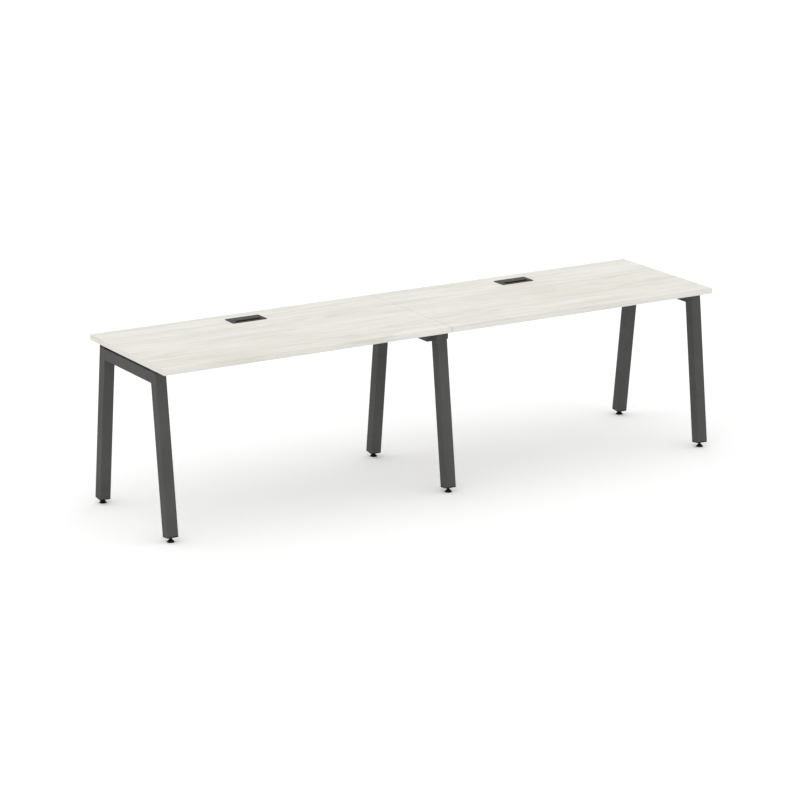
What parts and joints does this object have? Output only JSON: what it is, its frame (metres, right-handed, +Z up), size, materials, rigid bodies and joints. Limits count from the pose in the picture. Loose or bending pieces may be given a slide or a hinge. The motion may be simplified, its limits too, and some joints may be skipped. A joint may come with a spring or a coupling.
{
  "type": "office bench desk",
  "caption": "Long straight office bench desk: laminate tops side by side on splayed square-tube leg frames, with levelling feet and hinged cable flaps near the back edge.",
  "frame": {"origin": "on the floor under the middle of the bench", "axes": "+X along the bench to the sitter's right, +Y from the sitting side to the back edge, +Z up"},
  "size_m": [2.8, 0.7, 0.758],
  "materials": {
    "top_laminate": "pale bleached-oak laminate on chipboard, satin, fine grain along the bench",
    "frame_paint": "dark grey powder coat with a fine texture",
    "tray_paint": "dark grey powder coat on folded sheet",
    "black_plastic": "black moulded plastic",
    "outlet_plastic": "mid grey moulded plastic, fine spark texture",
    "pad_rubber": "black rubber",
    "zinc_steel": "zinc plated"
  },
  "bodies": {
    "bench": {"beam_spacers": "black_plastic", "cable_box_left": "outlet_plastic", "cable_box_right": "outlet_plastic", "cable_tray_left": "tray_paint", "cable_tray_right": "tray_paint", "desktop_left": "top_laminate", "desktop_right": "top_laminate", "edge_bands_left": "top_laminate", "edge_bands_right": "top_laminate", "hinge_pins_left": "zinc_steel", "hinge_pins_right": "zinc_steel", "left_beam": "frame_paint", "left_front_leg": "frame_paint", "left_front_leg_cap": "black_plastic", "left_front_rail": "frame_paint", "left_front_top_plug": "black_plastic", "left_rail_brackets": "frame_paint", "left_rear_leg": "frame_paint", "left_rear_leg_cap": "black_plastic", "left_rear_rail": "frame_paint", "left_rear_top_plug": "black_plastic", "leg_cap_nuts": "zinc_steel", "middle_beam": "frame_paint", "middle_front_leg": "frame_paint", "middle_front_leg_cap": "black_plastic", "middle_front_top_plug": "black_plastic", "middle_rail_brackets": "frame_paint", "middle_rear_leg": "frame_paint", "middle_rear_leg_cap": "black_plastic", "middle_rear_top_plug": "black_plastic", "middle_side_tubes": "frame_paint", "rail_bolts": "zinc_steel", "rail_pads": "pad_rubber", "right_beam": "frame_paint", "right_front_leg": "frame_paint", "right_front_leg_cap": "black_plastic", "right_front_rail": "frame_paint", "right_front_top_plug": "black_plastic", "right_rail_brackets": "frame_paint", "right_rear_leg": "frame_paint", "right_rear_leg_cap": "black_plastic", "right_rear_rail": "frame_paint", "right_rear_top_plug": "black_plastic", "side_tube_plates": "frame_paint", "top_screws": "zinc_steel", "tray_screws": "zinc_steel"},
    "lid_left": {"cable_lid_left": "outlet_plastic"},
    "lid_right": {"cable_lid_right": "outlet_plastic"},
    "left_front_leveller": {"left_front_foot": "black_plastic", "left_front_foot_stud": "zinc_steel"},
    "left_rear_leveller": {"left_rear_foot": "black_plastic", "left_rear_foot_stud": "zinc_steel"},
    "middle_front_leveller": {"middle_front_foot": "black_plastic", "middle_front_foot_stud": "zinc_steel"},
    "middle_rear_leveller": {"middle_rear_foot": "black_plastic", "middle_rear_foot_stud": "zinc_steel"},
    "right_front_leveller": {"right_front_foot": "black_plastic", "right_front_foot_stud": "zinc_steel"},
    "right_rear_leveller": {"right_rear_foot": "black_plastic", "right_rear_foot_stud": "zinc_steel"}
  },
  "joints": [
    {"name": "lid_left_hinge", "type": "hinge", "parent": "bench", "child": "lid_left", "pos_m": [-0.7005, 0.264, 0.755], "axis": [-1, 0, 0], "range_deg": [0, 100]},
    {"name": "lid_right_hinge", "type": "hinge", "parent": "bench", "child": "lid_right", "pos_m": [0.7005, 0.264, 0.755], "axis": [-1, 0, 0], "range_deg": [0, 100]},
    {"name": "left_front_level", "type": "slide", "parent": "bench", "child": "left_front_leveller", "axis": [0, 0, 1], "range_m": [-0.015, 0.003]},
    {"name": "left_rear_level", "type": "slide", "parent": "bench", "child": "left_rear_leveller", "axis": [0, 0, 1], "range_m": [-0.015, 0.003]},
    {"name": "middle_front_level", "type": "slide", "parent": "bench", "child": "middle_front_leveller", "axis": [0, 0, 1], "range_m": [-0.015, 0.003]},
    {"name": "middle_rear_level", "type": "slide", "parent": "bench", "child": "middle_rear_leveller", "axis": [0, 0, 1], "range_m": [-0.015, 0.003]},
    {"name": "right_front_level", "type": "slide", "parent": "bench", "child": "right_front_leveller", "axis": [0, 0, 1], "range_m": [-0.015, 0.003]},
    {"name": "right_rear_level", "type": "slide", "parent": "bench", "child": "right_rear_leveller", "axis": [0, 0, 1], "range_m": [-0.015, 0.003]}
  ]
}
